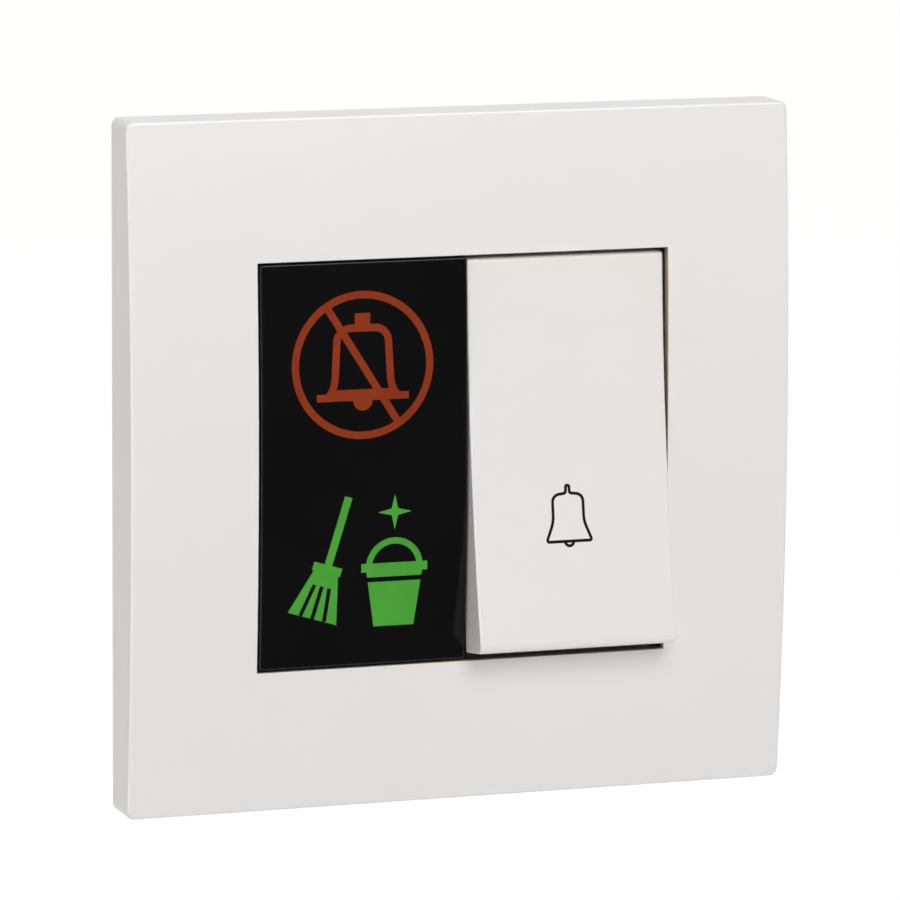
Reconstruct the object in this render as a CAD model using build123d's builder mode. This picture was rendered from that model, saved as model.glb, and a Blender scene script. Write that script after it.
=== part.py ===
from build123d import *
import os
from math import cos, radians, sin, sqrt, tan

os.makedirs("parts", exist_ok=True)

# All sizes are in millimetres. X runs to the right and Z up, as seen by a person in front of the wall.
# The wall is the plane Y = 0 and the room is at negative Y.
# A height h is measured from the wall into the room, so it lies at Y = -h, and a depth inside the wall
# box has a negative height.

# Cuts run this far past the face that they open
overcut = 1.0

# Cover plate
plate_size = 86.0
crown_height = 8.1
rim_height = 6.1
plate_corner = 1.0
plate_edge = 0.45
plate_skin = 2.0
plate_wall = 1.8
window_width = 53.4
window_height = 50.7
window_edge = 0.12
window_lip = 1.0
window_relief = 0.8
skirt_wall = 1.2
skirt_gap = 0.9
rib_wall = 1.0
rib_place = 15.0
peg_inset = 9.0
peg_radius = 1.5
peg_boss_radius = 2.7
peg_tip = 0.3
pry_notch_width = 9.0
pry_notch_height = 1.0

# Support frame
frame_thickness = 2.2
frame_clearance = 0.3
frame_corner = 1.8
frame_lip = 1.6
frame_lip_height = 1.0
opening_clearance = 0.2
peg_hole_clearance = 0.1

# Fixing screws, M3.5, close beside the modules on the 60.3 mm centres of a wall box
screw_flange_gap = 0.45
thread_radius = 1.75
neck_radius = 1.4
thread_length = 22.3
neck_clearance = 0.2
screw_head_radius = 3.2
screw_head_height = 2.0
screw_head_edge = 0.6
screw_seat_depth = 0.5
screw_seat_clearance = 0.3
cross_recess_length = 3.6
cross_recess_width = 0.9
cross_recess_depth = 1.2

# Module housings
split_x = 0.46
module_gap = 0.2
window_clearance = 0.2
flange_thickness = 1.5
flange_overhang = 1.6
flange_end_overhang = 2.4
housing_wall = 1.5
housing_depth = 12.0
terminal_block_height = 14.0
lug_width = 8.0
lug_reach = 1.2
lug_length = 2.6

# Terminals
terminal_width = 5.6
terminal_height = 6.6
terminal_length = 6.0
terminal_front_wall = 0.8
terminal_screen = 0.6
wire_bore_radius = 1.9
wire_entry_radius = 2.2
pocket_clearance = 0.1
clamp_screw_radius = 1.25
clamp_head_radius = 2.3
clamp_head_height = 1.6
clamp_head_recess = 0.3
clamp_tip_gap = 0.05
clamp_slot_width = 0.6
clamp_slot_depth = 0.8
thread_clearance = 0.03

# Indicator lens and legends
lens_recess = 0.1
lens_wall = 1.2
lens_face = 1.4
lens_corner = 0.4
lens_edge = 0.3
inlay_depth = 0.6
sign_shift = 0.27
sign_height = 12.4
sign_stroke = 0.93

# Light box, diffusers and lamps
box_clearance = 0.2
diffuser_thickness = 0.8
diffuser_edge_gap = 0.4
well_width = 20.0
well_height = 19.6
well_place = 11.0
well_floor_size = 9.0
well_floor_wall = 1.0
lamp_place = 10.5
lamp_radius = 2.5
lamp_flange_radius = 2.9
lamp_flange_height = 1.0
lamp_length = 8.1
lamp_hole_clearance = 0.2
lamp_lead_radius = 0.25
lamp_lead_pitch = 2.54
lamp_lead_length = 2.4

# Circuit board and its components
board_thickness = 1.6
lead_hole_clearance = 0.1
lead_tip_gap = 0.1
component_lead_radius = 0.3
component_offset_x = 5.0
component_rows = (5.2, 1.4)
resistor_radius = 1.15
resistor_length = 6.3
diode_radius = 1.3
diode_length = 5.2
component_standoff = 0.2
lead_run = 1.1
capacitor_width = 10.0
capacitor_height = 6.5
capacitor_thickness = 3.3
capacitor_place = -4.4
capacitor_gap = 0.3
ledge_height = 1.2
indicator_floor_wall = 1.6
pin_size = 0.8
pin_slot_clearance = 0.1
indicator_terminal_pitch = 7.4

# Rocker, drawn at rest with its lower end out
rocker_gap = 0.18
rocker_side_gap = 0.28
rocker_top_gap = 0.55
rocker_foot_gap = 1.75
rocker_top_height = 6.5
rocker_hollow_height = 8.6
rocker_hollow_z = 1.2
rocker_lip_height = 12.9
rocker_lip_radius = 1.0
rocker_top_radius = 0.5
rocker_edge = 0.3
rocker_skin = 1.8
rocker_wall = 1.6
rocker_rib = 1.2
rocker_rib_rows = (15.5, 6.5, -6.0, -15.5)
rocker_travel = 8.0
stop_gap = 0.1
pivot_height = 1.5
pivot_pin_radius = 1.0
pivot_clearance = 0.05
pin_fit = 0.02
pin_end_inset = 0.3
ear_radius = 2.2
ear_width = 3.0
ear_place = 7.6
leg_width = 6.0
leg_tip_radius = 1.2
leg_tip_height = -0.3

# Push mechanism
ear_clearance = 1.0
chamber_wall = 1.5
push_floor_wall = 2.0
core_rib = 1.2
deck_wall = 1.7
lever_arm = 12.0
tip_gap = 0.1
plunger_head_width = 8.0
plunger_head_height = 5.6
plunger_head_thickness = 1.6
plunger_edge = 0.4
stem_radius = 1.5
stem_length = 11.4
stem_clearance = 0.06
stem_end_clearance = 0.75
guide_boss_wall = 0.6
guide_boss_height = 1.4
bridge_end = 2.0
bridge_width = 4.0
strip_thickness = 0.6
contact_place = 7.0
contact_clearance = 0.05
moving_tip_radius = 1.3
fixed_tip_radius = 1.4
tip_thickness = 0.5
post_width = 3.2
spring_boss_gap = 0.35
spring_wire_radius = 0.25
spring_turns = 5.5
spring_end_gap = 0.05


def crown_at(z):
    """Height of the crowned front at z, on one circle through the mid-height and the two rims."""
    rise = crown_height - rim_height
    radius = ((plate_size / 2) ** 2 + rise**2) / (2 * rise)
    return crown_height - radius + sqrt(radius**2 - z**2)


def crown_profile(half_height, drop, back):
    """Side view, in Y and Z, of a slab from the height `back` to the crown lowered by `drop`."""
    with BuildSketch(Plane.YZ) as profile:
        with BuildLine():
            end = drop - crown_at(half_height)
            ThreePointArc((end, -half_height), (drop - crown_height, 0), (end, half_height))
            Polyline(
                (end, half_height),
                (-back, half_height),
                (-back, -half_height),
                (end, -half_height),
            )
        make_face()
    return profile.sketch


def block(x, z, h, mode=Mode.ADD):
    """A block between two X values, two Z values and two heights."""
    centre = ((x[0] + x[1]) / 2, -(h[0] + h[1]) / 2, (z[0] + z[1]) / 2)
    with Locations(centre):
        return Box(x[1] - x[0], abs(h[1] - h[0]), z[1] - z[0], mode=mode)


def rod(x, z, h, radius, mode=Mode.ADD):
    """A round bar square to the wall, centred on x and z, between two heights."""
    with Locations(Location((x, -(h[0] + h[1]) / 2, z), (90, 0, 0))):
        return Cylinder(radius, abs(h[1] - h[0]), mode=mode)


def save(builder, name):
    """Label one piece and write it to its file."""
    builder.part.label = name
    export_step(builder.part, f"parts/{name}.step")


# Places that several pieces share
half_plate = plate_size / 2
half_window_x = window_width / 2
half_window_z = window_height / 2
half_flange_z = half_window_z - window_clearance
half_housing_z = half_flange_z - flange_end_overhang
half_cavity_z = half_housing_z - housing_wall
flange_top = frame_thickness + flange_thickness
left_flange_x = (window_clearance - half_window_x, split_x - module_gap / 2)
right_flange_x = (split_x + module_gap / 2, half_window_x - window_clearance)
left_body_x = (left_flange_x[0] + flange_overhang, left_flange_x[1])
right_body_x = (right_flange_x[0], right_flange_x[1] - flange_overhang)
left_cavity_x = (left_body_x[0] + housing_wall, left_body_x[1] - housing_wall)
right_cavity_x = (right_body_x[0] + housing_wall, right_body_x[1] - housing_wall)
left_centre_x = sum(left_body_x) / 2
right_centre_x = sum(right_body_x) / 2
sign_x = sum(left_flange_x) / 2 - sign_shift
fixing_x = right_flange_x[1] + screw_flange_gap + screw_head_radius
fixing_places = [(-fixing_x, 0), (fixing_x, 0)]
peg_place = half_plate - peg_inset
peg_places = [(x * peg_place, z * peg_place) for x in (-1, 1) for z in (-1, 1)]

# Cover plate: a shell with a crowned front, closed round its sides and open at the wall
with BuildPart() as cover_plate:
    extrude(crown_profile(half_plate, 0, 0), amount=half_plate, both=True)
    fillet(cover_plate.edges().filter_by(Axis.Y), plate_corner)
    fillet(cover_plate.faces().filter_by(GeomType.CYLINDER).sort_by(SortBy.AREA)[-1].edges(), plate_edge)
    cavity_half = half_plate - plate_wall
    extrude(crown_profile(cavity_half, plate_skin, 0), amount=cavity_half, both=True, mode=Mode.SUBTRACT)
    # A skirt round the window hides the edges of the modules
    skirt_foot = flange_top + skirt_gap
    relief_x = half_window_x + window_relief
    relief_z = half_window_z + window_relief
    skirt_x = relief_x + skirt_wall
    skirt_z = relief_z + skirt_wall
    skirt_root = crown_height - plate_skin / 2 - (crown_height - crown_at(skirt_z))
    block((-skirt_x, skirt_x), (-skirt_z, skirt_z), (skirt_foot, skirt_root))
    # Ribs tie the skirt to the side walls, above the lip of the support frame
    rib_foot = frame_thickness + frame_lip_height + frame_clearance
    for side in (-1, 1):
        for place in (-rib_place, rib_place):
            rib_band = (place - rib_wall / 2, place + rib_wall / 2)
            rib_x = sorted((side * half_window_x, side * (cavity_half + plate_wall / 2)))
            rib_z = sorted((side * half_window_z, side * (cavity_half + plate_wall / 2)))
            block(rib_x, rib_band, (rib_foot, crown_at(cavity_half) - plate_skin / 2))
            block(rib_band, rib_z, (rib_foot, crown_at(cavity_half) - plate_skin / 2))
    for x, z in peg_places:
        rod(x, z, (frame_thickness, crown_at(peg_place) - plate_skin / 2), peg_boss_radius)
        rod(x, z, (peg_tip, frame_thickness + plate_skin), peg_radius)
    # The window narrows at a thin lip in front, so that the gaps round the modules look dark
    extrude(crown_profile(relief_z, window_lip, 0), amount=relief_x, both=True, mode=Mode.SUBTRACT)
    window = ((-half_window_x, half_window_x), (-half_window_z, half_window_z))
    block(*window, (0, crown_height + plate_skin), Mode.SUBTRACT)
    front = cover_plate.faces().filter_by(GeomType.CYLINDER).sort_by(SortBy.AREA)[-1]
    fillet(front.inner_wires()[0].edges(), window_edge)
    # A notch at the bottom takes the tip of a screwdriver, to lever the plate off
    notch_x = (-pry_notch_width / 2, pry_notch_width / 2)
    notch_z = (-half_plate - overcut, -cavity_half + overcut)
    block(notch_x, notch_z, (0, pry_notch_height), Mode.SUBTRACT)
save(cover_plate, "cover_plate")

# Support frame: a flat frame on the wall that carries both modules, the screws and the cover plate
frame_size = 2 * (half_plate - plate_wall - frame_clearance)
with BuildPart() as support_frame:
    with BuildSketch(Plane.XZ):
        RectangleRounded(frame_size, frame_size, frame_corner)
    extrude(amount=frame_thickness)
    with BuildSketch(Plane.XZ.offset(frame_thickness)):
        RectangleRounded(frame_size, frame_size, frame_corner)
        Rectangle(frame_size - 2 * frame_lip, frame_size - 2 * frame_lip, mode=Mode.SUBTRACT)
    extrude(amount=frame_lip_height)
    opening_x = (left_body_x[0] - opening_clearance, right_body_x[1] + opening_clearance)
    opening_z = (-half_housing_z - opening_clearance, half_housing_z + opening_clearance)
    through = (-overcut, frame_thickness + overcut)
    block(opening_x, opening_z, through, Mode.SUBTRACT)
    for x, z in peg_places:
        rod(x, z, through, peg_radius + peg_hole_clearance, Mode.SUBTRACT)
    seat_height = frame_thickness - screw_seat_depth
    for x, z in fixing_places:
        rod(x, z, through, neck_radius + neck_clearance, Mode.SUBTRACT)
        seat_radius = screw_head_radius + screw_seat_clearance
        rod(x, z, (seat_height, frame_thickness + overcut), seat_radius, Mode.SUBTRACT)
save(support_frame, "support_frame")

# Fixing screws: pan heads, a thin neck through the support frame, and a thread that starts at the wall
# and is too wide for the hole, so that the frame holds the screws captive
with BuildPart() as fixing_screws:
    for x, z in fixing_places:
        rod(x, z, (seat_height, seat_height + screw_head_height), screw_head_radius)
        rod(x, z, (0, seat_height), neck_radius)
        rod(x, z, (-thread_length, 0), thread_radius)
    rims = fixing_screws.edges().filter_by(GeomType.CIRCLE).group_by(Axis.Y)
    fillet(rims[0], screw_head_edge)
    chamfer(rims[-1], screw_head_edge)
    with BuildSketch(Plane.XZ.offset(seat_height + screw_head_height)):
        with Locations(*fixing_places):
            Rectangle(cross_recess_length, cross_recess_width)
            Rectangle(cross_recess_width, cross_recess_length)
    extrude(amount=-cross_recess_depth, mode=Mode.SUBTRACT)
save(fixing_screws, "fixing_screws")


def lug_profile(side):
    """Side view of one snap lug: square against the back of the support frame, then a ramp."""
    root = side * (half_housing_z - housing_wall / 2)
    crest = side * (half_housing_z + lug_reach)
    with BuildSketch(Plane.YZ) as profile:
        with BuildLine():
            Polyline(
                (0, root),
                (0, crest),
                (lug_length, side * half_housing_z),
                (lug_length, root),
                close=True,
            )
        make_face()
    return profile.sketch


def housing_shell(flange_x, body_x):
    """Flange, body and the two snap lugs of a module housing, before it is hollowed."""
    block(flange_x, (-half_flange_z, half_flange_z), (frame_thickness, flange_top))
    block(body_x, (-half_housing_z, half_housing_z), (-housing_depth, flange_top))
    for side in (-1, 1):
        lug = extrude(lug_profile(side), amount=lug_width / 2, both=True, mode=Mode.PRIVATE)
        add(lug.moved(Location((sum(body_x) / 2, 0, 0))))


# Terminal pockets lie along the bottom of each housing and open to the back
terminal_base = -half_cavity_z
terminal_z = (terminal_base, terminal_base + terminal_height)
terminal_front = housing_depth + terminal_screen
terminal_back = terminal_front + terminal_length
terminal_depth = terminal_back + clamp_head_height + clamp_head_recess
terminal_bore_height = -(terminal_front + terminal_front_wall + wire_bore_radius)
terminal_block_z = (-half_housing_z, terminal_block_height - half_housing_z)
indicator_terminal_places = [left_centre_x + i * indicator_terminal_pitch for i in (-1, 0, 1)]
push_terminal_places = [right_centre_x - contact_place, right_centre_x + contact_place]


def terminal_pockets(places):
    """Pockets for the terminals, and the round wire entries below them."""
    reach = terminal_width / 2 + pocket_clearance
    for x in places:
        pocket_z = (terminal_z[0], terminal_z[1] + pocket_clearance)
        pocket_h = (-terminal_depth - overcut, -terminal_front)
        block((x - reach, x + reach), pocket_z, pocket_h, Mode.SUBTRACT)
        with Locations((x, -terminal_bore_height, -half_housing_z)):
            Cylinder(wire_entry_radius, 3 * housing_wall, mode=Mode.SUBTRACT)


def terminals(places):
    """Brass blocks with a wire bore along Z and a threaded hole from the back."""
    for x in places:
        terminal_x = (x - terminal_width / 2, x + terminal_width / 2)
        block(terminal_x, terminal_z, (-terminal_back, -terminal_front))
    for x in places:
        with Locations((x, -terminal_bore_height, sum(terminal_z) / 2)):
            Cylinder(wire_bore_radius, 2 * terminal_height, mode=Mode.SUBTRACT)
        thread = (-terminal_back - overcut, terminal_bore_height)
        rod(x, sum(terminal_z) / 2, thread, clamp_screw_radius + thread_clearance, Mode.SUBTRACT)


def clamp_screws(places):
    """Slotted cheese-head screws that clamp the wires, seated on the backs of the terminals."""
    head = (-terminal_back - clamp_head_height, -terminal_back)
    shank = (-terminal_back, terminal_bore_height - wire_bore_radius - clamp_tip_gap)
    for x in places:
        rod(x, sum(terminal_z) / 2, head, clamp_head_radius)
        rod(x, sum(terminal_z) / 2, shank, clamp_screw_radius)
        slot_x = (x - clamp_slot_width / 2, x + clamp_slot_width / 2)
        slot_h = (head[0] - overcut, head[0] + clamp_slot_depth)
        slot_z = (terminal_z[0] - overcut, terminal_z[1] + overcut)
        block(slot_x, slot_z, slot_h, Mode.SUBTRACT)


# Indicator housing: an open box with a closed floor, ledges for the board and three terminal pockets
indicator_floor = indicator_floor_wall - housing_depth
board_back = indicator_floor + capacitor_thickness + capacitor_gap
board_front = board_back + board_thickness
pin_places = [(x, sum(terminal_z) / 2) for x in indicator_terminal_places]
with BuildPart() as indicator_housing:
    housing_shell(left_flange_x, left_body_x)
    block(left_body_x, terminal_block_z, (-terminal_depth, -housing_depth))
    cavity_h = (indicator_floor, flange_top + overcut)
    block(left_cavity_x, (-half_cavity_z, half_cavity_z), cavity_h, Mode.SUBTRACT)
    for side in (-1, 1):
        ledge_z = sorted((side * half_cavity_z, side * (half_cavity_z - ledge_height)))
        block(left_cavity_x, ledge_z, (indicator_floor, board_back))
    terminal_pockets(indicator_terminal_places)
    slot_half = pin_size / 2 + pin_slot_clearance
    for x, z in pin_places:
        slot_bands = ((x - slot_half, x + slot_half), (z - slot_half, z + slot_half))
        slot_h = (-terminal_front - overcut, indicator_floor + overcut)
        block(*slot_bands, slot_h, Mode.SUBTRACT)
save(indicator_housing, "indicator_housing")

with BuildPart() as indicator_terminals:
    terminals(indicator_terminal_places)
save(indicator_terminals, "indicator_terminals")

with BuildPart() as indicator_terminal_screws:
    clamp_screws(indicator_terminal_places)
save(indicator_terminal_screws, "indicator_terminal_screws")

# Terminal pins: square brass pins from the terminals through the floor into the board
with BuildPart() as terminal_pins:
    for x, z in pin_places:
        pin_bands = ((x - pin_size / 2, x + pin_size / 2), (z - pin_size / 2, z + pin_size / 2))
        block(*pin_bands, (-terminal_front, board_front - lead_tip_gap))
save(terminal_pins, "terminal_pins")

# Circuit board: lies on the ledges, drilled for every lead that it carries
lamp_places = [(left_centre_x, lamp_place), (left_centre_x, -lamp_place)]
resistor_places = [(left_centre_x - component_offset_x, z) for z in component_rows]
diode_places = [(left_centre_x + component_offset_x, z) for z in component_rows]
board_x = (left_cavity_x[0] + box_clearance, left_cavity_x[1] - box_clearance)
board_z = (box_clearance - half_cavity_z, half_cavity_z - box_clearance)
with BuildPart() as indicator_circuit_board:
    block(board_x, board_z, (board_back, board_front))
    through = (board_back - overcut, board_front + overcut)
    for x, z in lamp_places:
        for side in (-1, 1):
            hole_x = x + side * lamp_lead_pitch / 2
            rod(hole_x, z, through, lamp_lead_radius + lead_hole_clearance, Mode.SUBTRACT)
    for places, length in ((resistor_places, resistor_length), (diode_places, diode_length)):
        for x, z in places:
            for side in (-1, 1):
                hole_x = x + side * (length / 2 + lead_run)
                rod(hole_x, z, through, component_lead_radius + lead_hole_clearance, Mode.SUBTRACT)
    for x, z in pin_places:
        slot_bands = ((x - slot_half, x + slot_half), (z - slot_half, z + slot_half))
        block(*slot_bands, through, Mode.SUBTRACT)
save(indicator_circuit_board, "indicator_circuit_board")


def axial_components(places, radius, length):
    """Round bodies lying along X behind the board, with leads bent over into its holes."""
    axis_height = board_back - component_standoff - radius
    tip_y = -(board_front - lead_tip_gap)
    for x, z in places:
        with Locations(Location((x, -axis_height, z), (0, 90, 0))):
            Cylinder(radius, length)
        for side in (-1, 1):
            bend_x = x + side * (length / 2 + lead_run)
            with BuildLine() as route:
                FilletPolyline(
                    (x + side * length / 2, -axis_height, z),
                    (bend_x, -axis_height, z),
                    (bend_x, tip_y, z),
                    radius=lead_run / 2,
                )
            start = Plane(origin=route.line @ 0, z_dir=route.line % 0)
            with BuildSketch(start) as section:
                Circle(component_lead_radius)
            sweep(section.sketch, path=route.line)


with BuildPart() as dropper_resistors:
    axial_components(resistor_places, resistor_radius, resistor_length)
save(dropper_resistors, "dropper_resistors")

with BuildPart() as rectifier_diodes:
    axial_components(diode_places, diode_radius, diode_length)
save(rectifier_diodes, "rectifier_diodes")

with BuildPart() as film_capacitor:
    capacitor_x = (left_centre_x - capacitor_width / 2, left_centre_x + capacitor_width / 2)
    capacitor_z = (capacitor_place - capacitor_height / 2, capacitor_place + capacitor_height / 2)
    block(capacitor_x, capacitor_z, (board_back - capacitor_thickness, board_back))
    fillet(film_capacitor.edges().filter_by(Axis.Y), component_lead_radius)
save(film_capacitor, "film_capacitor")


def lamp(place):
    """A round lamp with a domed tip, a flange on the board and two leads through it."""
    x, z = place
    rod(x, z, (board_front, board_front + lamp_flange_height), lamp_flange_radius)
    dome_base = board_front + lamp_length - lamp_radius
    rod(x, z, (board_front, dome_base), lamp_radius)
    with Locations((x, -dome_base, z)):
        Sphere(lamp_radius)
    for side in (-1, 1):
        lead_x = x + side * lamp_lead_pitch / 2
        rod(lead_x, z, (board_front - lamp_lead_length, board_front), lamp_lead_radius)


with BuildPart() as do_not_disturb_lamp:
    lamp(lamp_places[0])
save(do_not_disturb_lamp, "do_not_disturb_lamp")

with BuildPart() as make_up_room_lamp:
    lamp(lamp_places[1])
save(make_up_room_lamp, "make_up_room_lamp")

# Light box: white moulding with two tapered wells, its rim inside the lens and its body in the housing
lens_x = left_flange_x
half_lens_z = half_flange_z
lens_inner_x = (lens_x[0] + lens_wall, lens_x[1] - lens_wall)
half_lens_inner_z = half_lens_z - lens_wall
lens_inside = crown_at(half_lens_z) - lens_recess - lens_face
box_top = lens_inside - diffuser_thickness
rim_x = (lens_inner_x[0] + box_clearance, lens_inner_x[1] - box_clearance)
half_rim_z = half_lens_inner_z - box_clearance
with BuildPart() as light_box:
    block(rim_x, (-half_rim_z, half_rim_z), (flange_top, box_top))
    block(board_x, board_z, (board_front, flange_top))
    for side, place in zip((1, -1), lamp_places):
        with BuildSketch(Plane.XZ.offset(box_top)):
            with Locations((sign_x, side * well_place)):
                Rectangle(well_width, well_height)
        with BuildSketch(Plane.XZ.offset(board_front + well_floor_wall)):
            with Locations(place):
                Rectangle(well_floor_size, well_floor_size)
        loft(mode=Mode.SUBTRACT)
        hole = (board_front - overcut, board_front + well_floor_wall + overcut)
        rod(*place, hole, lamp_flange_radius + lamp_hole_clearance, Mode.SUBTRACT)
save(light_box, "light_box")

# Diffusers: two opal sheets between the light box and the lens
diffuser_x = (rim_x[0] + diffuser_edge_gap, rim_x[1] - diffuser_edge_gap)
diffuser_z = (diffuser_edge_gap, half_rim_z - diffuser_edge_gap)
with BuildPart() as do_not_disturb_diffuser:
    block(diffuser_x, diffuser_z, (box_top, lens_inside))
save(do_not_disturb_diffuser, "do_not_disturb_diffuser")

with BuildPart() as make_up_room_diffuser:
    block(diffuser_x, (-diffuser_z[1], -diffuser_z[0]), (box_top, lens_inside))
save(make_up_room_diffuser, "make_up_room_diffuser")

# Lens before the legends are let into it: a shallow cap with the same crown as the cover plate
with BuildPart() as lens_blank:
    lens_half_width = (lens_x[1] - lens_x[0]) / 2
    cap = extrude(
        crown_profile(half_lens_z, lens_recess, flange_top),
        amount=lens_half_width,
        both=True,
        mode=Mode.PRIVATE,
    )
    add(cap.moved(Location((sum(lens_x) / 2, 0, 0))))
    fillet(lens_blank.edges().filter_by(Axis.Y), lens_corner)
    fillet(lens_blank.faces().filter_by(GeomType.CYLINDER).sort_by(SortBy.AREA)[-1].edges(), lens_edge)
    inner_z = (-half_lens_inner_z, half_lens_inner_z)
    block(lens_inner_x, inner_z, (flange_top - overcut, lens_inside), Mode.SUBTRACT)


def sign_plane(z):
    """Plane of a legend, on the inside of the lens, with its origin at the legend's centre."""
    return Plane(origin=(sign_x, -lens_inside, z), x_dir=(1, 0, 0), z_dir=(0, -1, 0))


def legend(sign):
    """The layer of the lens face that a sign takes up, as deep as the inlay."""
    add(lens_blank.part)
    extrude(sign.sketch, amount=crown_height, mode=Mode.INTERSECT)
    under = extrude(
        crown_profile(half_lens_z, lens_recess + inlay_depth, 0),
        amount=half_plate,
        both=True,
        mode=Mode.PRIVATE,
    )
    add(under, mode=Mode.SUBTRACT)


# Do-not-disturb legend: a ring with a bar across a bell, in red
ring_radius = 9.14
bar_angle = -57.6
bell_half_width = 3.8
bell_shoulder_radius = 2.2
bell_top = 5.05
bell_waist_width = 4.05
bell_waist = -1.6
bell_foot = -3.9
bell_flare = 5.2
bell_base_width = 11.9
bell_cap_width = 2.0
bell_cap_height = 1.6
clapper_radius = 1.25
with BuildSketch(sign_plane(sign_height)) as bell_sign:
    with BuildLine():
        crown = Line((0, bell_top), (bell_shoulder_radius - bell_half_width, bell_top))
        shoulder_foot = (-bell_half_width, bell_top - bell_shoulder_radius)
        shoulder = TangentArc(crown @ 1, shoulder_foot, tangent=crown % 1)
        side_line = Line(shoulder @ 1, (-bell_waist_width, bell_waist))
        flare = TangentArc(side_line @ 1, (-bell_flare, bell_foot), tangent=side_line % 1)
        foot = Line(flare @ 1, (0, bell_foot))
        mirror(about=Plane.YZ)
    make_face()
    offset(amount=-sign_stroke, mode=Mode.SUBTRACT)
    with Locations((0, bell_foot)):
        Rectangle(bell_base_width, sign_stroke)
    with Locations((0, bell_top + bell_cap_height / 2 - sign_stroke / 4)):
        Rectangle(bell_cap_width, bell_cap_height)
    with Locations((0, bell_foot - sign_stroke / 2)):
        Circle(clapper_radius)
with BuildSketch(sign_plane(sign_height)) as do_not_disturb_sign:
    Circle(ring_radius)
    Circle(ring_radius - sign_stroke, mode=Mode.SUBTRACT)
    Rectangle(2 * ring_radius - sign_stroke, sign_stroke, rotation=bar_angle)
    add(bell_sign.sketch_local)
with BuildPart() as do_not_disturb_legend:
    legend(do_not_disturb_sign)
save(do_not_disturb_legend, "do_not_disturb_legend")

# Make-up-room legend: a broom beside a bucket, with a four-pointed star above them, in green
broom_tilt = 17.0
broom_x = -4.4
handle_width = 1.0
handle_length = 9.4
handle_z = 4.2
brush_top = 3.0
brush_foot = 6.6
brush_length = 6.4
brush_z = -3.6
collar_width = 3.8
collar_length = 1.1
bristle_gap = 0.5
bristle_slit = 4.2
bristle_place = 1.3
bucket_x = 4.2
bucket_z = -4.2
bucket_top = 7.4
bucket_foot = 5.2
bucket_length = 7.4
bucket_rim_width = 8.6
bucket_rim_length = 1.1
bucket_band_z = -2.0
bucket_band = 0.6
bail_radius = 3.7
bail_stroke = 0.8
star_x = 4.2
star_z = 6.4
star_points = 4
star_reach = 2.2
star_waist = 0.6


def flared(width_top, width_foot, length):
    """Corners of a shape that widens or narrows from its top to its foot."""
    return [
        (-width_top / 2, length / 2),
        (width_top / 2, length / 2),
        (width_foot / 2, -length / 2),
        (-width_foot / 2, -length / 2),
    ]


def star(points, reach, waist):
    """Corners of a star, by turns on an outer and an inner circle."""
    turns = [radians(180 * i / points) for i in range(2 * points)]
    radii = [reach, waist] * points
    return [(radius * cos(turn), radius * sin(turn)) for turn, radius in zip(turns, radii)]


with BuildSketch(sign_plane(-sign_height)) as make_up_room_sign:
    bucket_mouth = bucket_z + bucket_length / 2
    with Locations((bucket_x, bucket_mouth)):
        Circle(bail_radius)
        Circle(bail_radius - bail_stroke, mode=Mode.SUBTRACT)
    with Locations((bucket_x, bucket_mouth - bail_radius)):
        Rectangle(2 * bail_radius, 2 * bail_radius, mode=Mode.SUBTRACT)
    with Locations((bucket_x, bucket_z)):
        Polygon(*flared(bucket_top, bucket_foot, bucket_length))
    with Locations((bucket_x, bucket_mouth)):
        Rectangle(bucket_rim_width, bucket_rim_length)
    with Locations((bucket_x, bucket_band_z)):
        Rectangle(bucket_rim_width, bucket_band, mode=Mode.SUBTRACT)
    with Locations((star_x, star_z)):
        Polygon(*star(star_points, star_reach, star_waist))
    with Locations(Location((broom_x, 0), -broom_tilt)):
        with Locations((0, handle_z)):
            Rectangle(handle_width, handle_length)
        with Locations((0, brush_z)):
            Polygon(*flared(brush_top, brush_foot, brush_length))
            with Locations((0, brush_length / 2)):
                Rectangle(collar_width, collar_length)
            for step in (-1, 0, 1):
                slit_place = (step * bristle_place, (bristle_slit - brush_length) / 2)
                with Locations(Location(slit_place, step * broom_tilt / 2)):
                    Rectangle(bristle_gap, bristle_slit, mode=Mode.SUBTRACT)
with BuildPart() as make_up_room_legend:
    legend(make_up_room_sign)
save(make_up_room_legend, "make_up_room_legend")

# Indicator lens: black cap with both legends moulded into its face
with BuildPart() as indicator_lens:
    add(lens_blank.part)
    add(do_not_disturb_legend.part, mode=Mode.SUBTRACT)
    add(make_up_room_legend.part, mode=Mode.SUBTRACT)
save(indicator_lens, "indicator_lens")

# Push housing: a chamber for the mechanism below, a ribbed core above, two terminal pockets behind
rocker_x = (split_x - module_gap / 2 + rocker_gap, half_window_x - rocker_side_gap)
push_width = right_body_x[1] - right_body_x[0]
chamber_depth = housing_depth - push_floor_wall
chamber_z = (-half_cavity_z, ear_radius + ear_clearance)
core_z = (chamber_z[1] + chamber_wall, half_cavity_z)
leg_drop = pivot_height - leg_tip_height
plunger_travel = lever_arm * sin(radians(rocker_travel)) - leg_drop * (1 - cos(radians(rocker_travel)))
head_front = leg_tip_height - leg_tip_radius - tip_gap
head_back = head_front - plunger_head_thickness
bridge_back = head_back - strip_thickness
moving_tip_back = bridge_back - tip_thickness
fixed_tip_front = moving_tip_back - plunger_travel - contact_clearance
fixed_strip_front = fixed_tip_front - tip_thickness
fixed_strip_back = fixed_strip_front - strip_thickness
contact_band = (-lever_arm - bridge_width / 2, -lever_arm + bridge_width / 2)
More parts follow.
